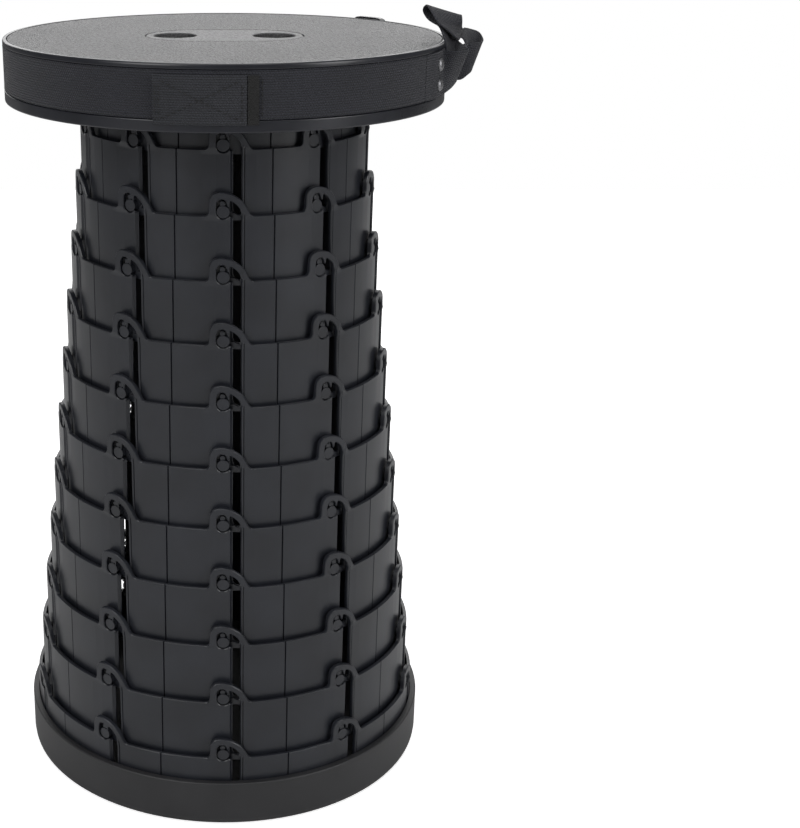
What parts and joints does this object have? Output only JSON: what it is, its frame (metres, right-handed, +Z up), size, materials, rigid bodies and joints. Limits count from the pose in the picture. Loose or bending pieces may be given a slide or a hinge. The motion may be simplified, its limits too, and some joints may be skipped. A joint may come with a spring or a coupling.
{
  "type": "collapsible telescopic stool",
  "caption": "Round stool whose nested plastic rings telescope from a flat drum to full sitting height, with a webbing band and carrying loop round the seat.",
  "frame": {"origin": "centre of the underside of the rubber pad under the base, on the floor", "axes": "+Z up along the column; -Y is the front, where the webbing's closing tab lies; +X points to the carrying loop"},
  "size_m": [0.2813, 0.2581, 0.468],
  "materials": {
    "ring_plastic": "satin",
    "seat_plastic": "matte",
    "base_plastic": "satin",
    "webbing": "ribbed",
    "hook_fabric": "matte",
    "buckle_plastic": "satin",
    "rivet_steel": "satin",
    "grip_rubber": "matte"
  },
  "bodies": {
    "base": {"base_ring": "ring_plastic", "base_skirt": "base_plastic", "base_plate": "base_plastic", "grip_ring": "grip_rubber", "grip_pad": "grip_rubber"},
    "stage_10": {"ring_10": "ring_plastic"},
    "stage_09": {"ring_09": "ring_plastic"},
    "stage_08": {"ring_08": "ring_plastic"},
    "stage_07": {"ring_07": "ring_plastic"},
    "stage_06": {"ring_06": "ring_plastic"},
    "stage_05": {"ring_05": "ring_plastic"},
    "stage_04": {"ring_04": "ring_plastic"},
    "stage_03": {"ring_03": "ring_plastic"},
    "stage_02": {"ring_02": "ring_plastic"},
    "stage_01": {"ring_01": "ring_plastic"},
    "seat": {"seat_ring": "ring_plastic", "seat_shell": "seat_plastic", "seat_top": "seat_plastic", "finger_cap": "seat_plastic", "strap_band": "webbing", "strap_tab": "webbing", "hook_patch": "hook_fabric", "carry_handle": "webbing", "rivet_near_low": "rivet_steel", "rivet_near_high": "rivet_steel", "rivet_far_low": "rivet_steel", "rivet_far_high": "rivet_steel", "buckle": "buckle_plastic"}
  },
  "joints": [
    {"name": "stage_10_slide", "type": "slide", "parent": "base", "child": "stage_10", "axis": [0, 0, 1], "range_m": [-0.0352, 0]},
    {"name": "stage_09_slide", "type": "slide", "parent": "stage_10", "child": "stage_09", "axis": [0, 0, 1], "range_m": [-0.0352, 0]},
    {"name": "stage_08_slide", "type": "slide", "parent": "stage_09", "child": "stage_08", "axis": [0, 0, 1], "range_m": [-0.0352, 0]},
    {"name": "stage_07_slide", "type": "slide", "parent": "stage_08", "child": "stage_07", "axis": [0, 0, 1], "range_m": [-0.0352, 0]},
    {"name": "stage_06_slide", "type": "slide", "parent": "stage_07", "child": "stage_06", "axis": [0, 0, 1], "range_m": [-0.0352, 0]},
    {"name": "stage_05_slide", "type": "slide", "parent": "stage_06", "child": "stage_05", "axis": [0, 0, 1], "range_m": [-0.0352, 0]},
    {"name": "stage_04_slide", "type": "slide", "parent": "stage_05", "child": "stage_04", "axis": [0, 0, 1], "range_m": [-0.0352, 0]},
    {"name": "stage_03_slide", "type": "slide", "parent": "stage_04", "child": "stage_03", "axis": [0, 0, 1], "range_m": [-0.0352, 0]},
    {"name": "stage_02_slide", "type": "slide", "parent": "stage_03", "child": "stage_02", "axis": [0, 0, 1], "range_m": [-0.0352, 0]},
    {"name": "stage_01_slide", "type": "slide", "parent": "stage_02", "child": "stage_01", "axis": [0, 0, 1], "range_m": [-0.0352, 0]},
    {"name": "seat_slide", "type": "slide", "parent": "stage_01", "child": "seat", "axis": [0, 0, 1], "range_m": [-0.0352, 0]}
  ]
}
